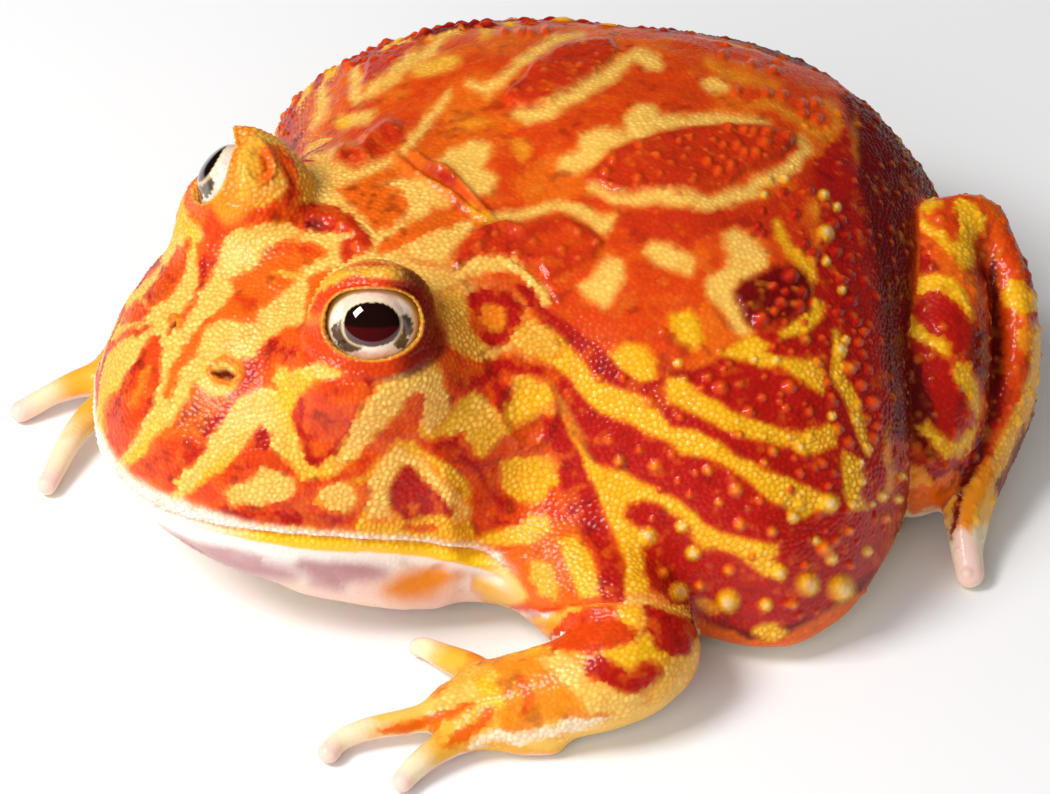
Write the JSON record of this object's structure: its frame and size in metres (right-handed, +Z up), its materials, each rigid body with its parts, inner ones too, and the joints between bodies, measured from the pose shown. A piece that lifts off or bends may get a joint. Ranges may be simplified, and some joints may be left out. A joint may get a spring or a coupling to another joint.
{
  "type": "argentine horned frog",
  "caption": "Squat wide-mouthed horned frog resting on its belly, fore hands forward, one hind leg folded high beside the rump.",
  "frame": {"origin": "on the floor under the middle of the bounding box", "axes": "-Y the way the frog faces, +X its own left, +Z up"},
  "size_m": [0.111, 0.1058, 0.0446],
  "materials": {
    "skin_back": "moist grained skin, orange red with yellow bands",
    "skin_pale": "moist smooth skin, cream to pale pink",
    "skin_horn": "moist skin, orange yellow",
    "eye": "wet gloss, dark pupil in a cream iris",
    "ear_drum": "thin taut skin, ochre"
  },
  "bodies": {
    "root": {"head": "skin_back", "lower_jaw": "skin_pale", "torso": "skin_back", "eye_left": "eye", "eye_right": "eye", "horn_left": "skin_horn", "horn_right": "skin_horn", "ear_left": "ear_drum", "ear_right": "ear_drum", "upper_arm_left": "skin_back", "upper_arm_right": "skin_back", "forearm_left": "skin_back", "forearm_right": "skin_back", "hand_left": "skin_back", "hand_right": "skin_back", "finger_1_left": "skin_pale", "finger_2_left": "skin_pale", "finger_3_left": "skin_pale", "finger_4_left": "skin_pale", "finger_1_right": "skin_pale", "finger_2_right": "skin_pale", "finger_3_right": "skin_pale", "finger_4_right": "skin_pale", "thigh_left": "skin_back", "thigh_right": "skin_back", "shank_left": "skin_back", "shank_right": "skin_back", "foot_left": "skin_back", "foot_right": "skin_back", "toe_1_left": "skin_pale", "toe_2_left": "skin_pale", "toe_3_left": "skin_pale", "toe_4_left": "skin_pale", "toe_5_left": "skin_pale", "toe_1_right": "skin_pale", "toe_2_right": "skin_pale", "toe_3_right": "skin_pale", "toe_4_right": "skin_pale", "toe_5_right": "skin_pale"}
  },
  "joints": []
}
